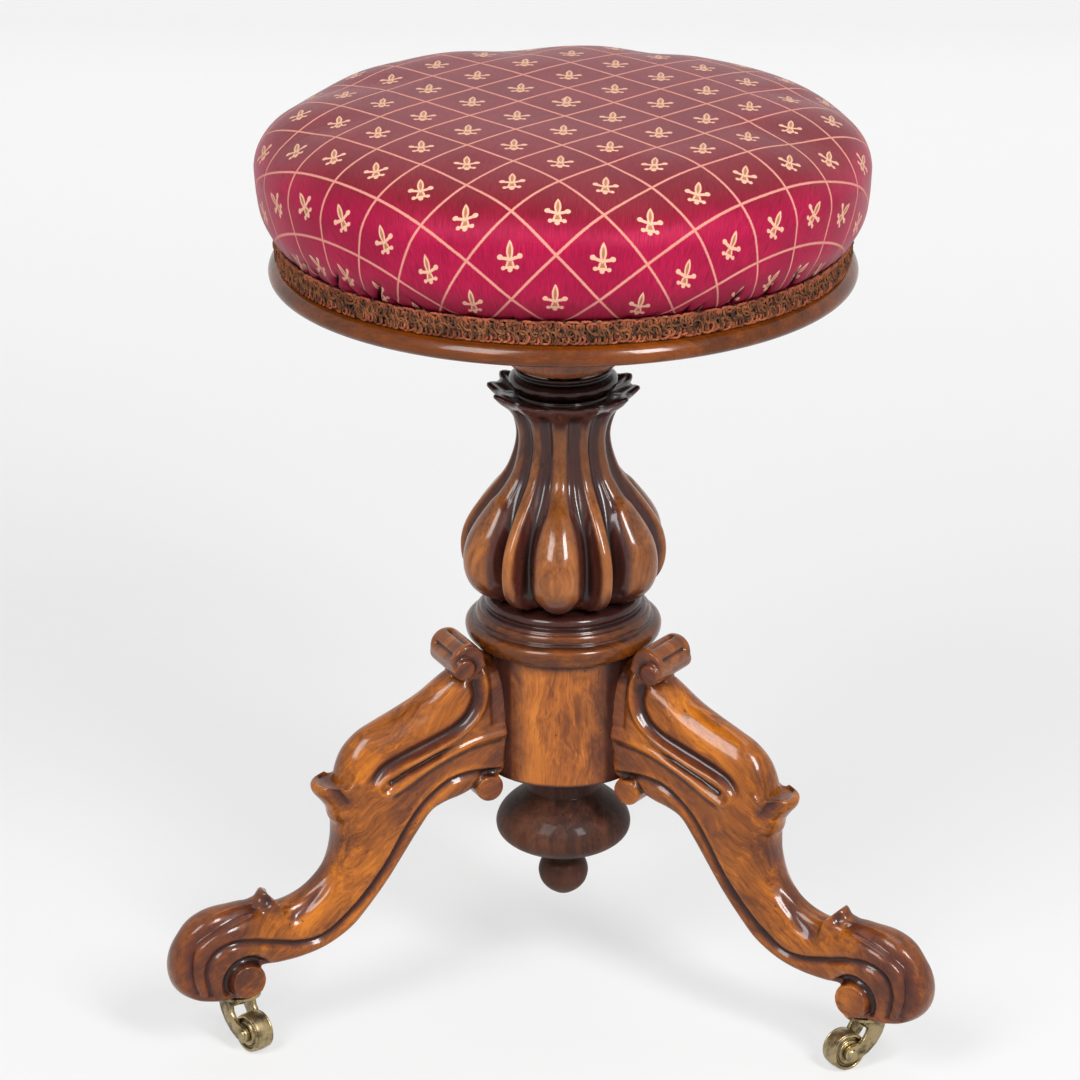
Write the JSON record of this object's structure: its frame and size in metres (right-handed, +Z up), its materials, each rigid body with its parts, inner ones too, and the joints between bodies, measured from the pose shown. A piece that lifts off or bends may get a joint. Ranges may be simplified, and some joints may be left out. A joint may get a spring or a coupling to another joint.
{
  "type": "revolving piano stool",
  "caption": "Round upholstered stool on a carved vase column, with a screw that winds the seat up and down, a hub, cabriole legs and swivelling casters.",
  "frame": {"origin": "on the floor, on the column's axis", "axes": "+Z up along the seat's screw, +Y towards the back leg, -Y towards the open side between the two front legs"},
  "size_m": [0.4402, 0.4207, 0.5345],
  "materials": {
    "silk_damask": "woven silk damask with a satin sheen",
    "horsehair": "teased horsehair under wadding",
    "gimp": "looped braid",
    "tack_steel": "blued steel",
    "beech": "plain sanded",
    "walnut": "French polished",
    "walnut_dark": "French polished, darkened in the hollows",
    "walnut_burr": "French polished burr veneer",
    "walnut_ebonised": "dark stained and polished",
    "screw_steel": "plain",
    "iron": "oiled",
    "leather": "plain",
    "brass_nut": "machined",
    "caster_brass": "aged, rubbed bright on the treads"
  },
  "bodies": {
    "base": {"column": "walnut_dark", "screw_nut": "brass_nut", "nut_screws": "screw_steel", "collar": "walnut", "hub": "walnut_burr", "finial": "walnut_ebonised", "leg_left": "walnut", "leg_right": "walnut", "leg_back": "walnut", "caster_plate_left": "caster_brass", "caster_plate_right": "caster_brass", "caster_plate_back": "caster_brass", "caster_plate_screws": "caster_brass"},
    "lift": {"stop_washer": "leather"},
    "seat": {"seat_cover": "silk_damask", "stuffing": "horsehair", "gimp_braid": "gimp", "tacks": "tack_steel", "seat_board": "beech", "seat_rim": "walnut", "rim_screws": "screw_steel", "seat_boss": "walnut_dark", "boss_screws": "screw_steel", "screw_plate": "iron", "plate_screws": "screw_steel", "seat_screw": "iron", "stop_collar": "iron"},
    "swivel_left": {"caster_horn_left": "caster_brass", "caster_pivot_left": "caster_brass", "caster_axle_left": "caster_brass"},
    "wheel_left": {"caster_wheel_left": "caster_brass"},
    "swivel_right": {"caster_horn_right": "caster_brass", "caster_pivot_right": "caster_brass", "caster_axle_right": "caster_brass"},
    "wheel_right": {"caster_wheel_right": "caster_brass"},
    "swivel_back": {"caster_horn_back": "caster_brass", "caster_pivot_back": "caster_brass", "caster_axle_back": "caster_brass"},
    "wheel_back": {"caster_wheel_back": "caster_brass"}
  },
  "joints": [
    {"name": "seat_rise", "type": "slide", "parent": "base", "child": "lift", "axis": [0, 0, 1], "range_m": [0, 0.112]},
    {"name": "seat_turn", "type": "hinge", "parent": "lift", "child": "seat", "pos_m": [0, 0, 0.4], "axis": [0, 0, 1], "range_deg": [0, 5040]},
    {"name": "swivel_left_turn", "type": "hinge", "parent": "base", "child": "swivel_left", "pos_m": [-0.17924, -0.10349, 0.028], "axis": [0, 0, 1], "continuous": true},
    {"name": "wheel_left_roll", "type": "hinge", "parent": "swivel_left", "child": "wheel_left", "pos_m": [-0.1697, -0.11373, 0.0115], "axis": [0.7314, 0.682, 0], "continuous": true},
    {"name": "swivel_right_turn", "type": "hinge", "parent": "base", "child": "swivel_right", "pos_m": [0.17924, -0.10349, 0.028], "axis": [0, 0, 1], "continuous": true},
    {"name": "wheel_right_roll", "type": "hinge", "parent": "swivel_right", "child": "wheel_right", "pos_m": [0.16792, -0.11172, 0.0115], "axis": [0.5878, -0.809, 0], "continuous": true},
    {"name": "swivel_back_turn", "type": "hinge", "parent": "base", "child": "swivel_back", "pos_m": [0, 0.20697, 0.028], "axis": [0, 0, 1], "continuous": true},
    {"name": "wheel_back_roll", "type": "hinge", "parent": "swivel_back", "child": "wheel_back", "pos_m": [0.007, 0.19485, 0.0115], "axis": [0.866, 0.5, 0], "continuous": true}
  ],
  "couplings": [
    {"joint": "seat_rise", "follows": "seat_turn", "m_per_rad": 0.0012732}
  ]
}
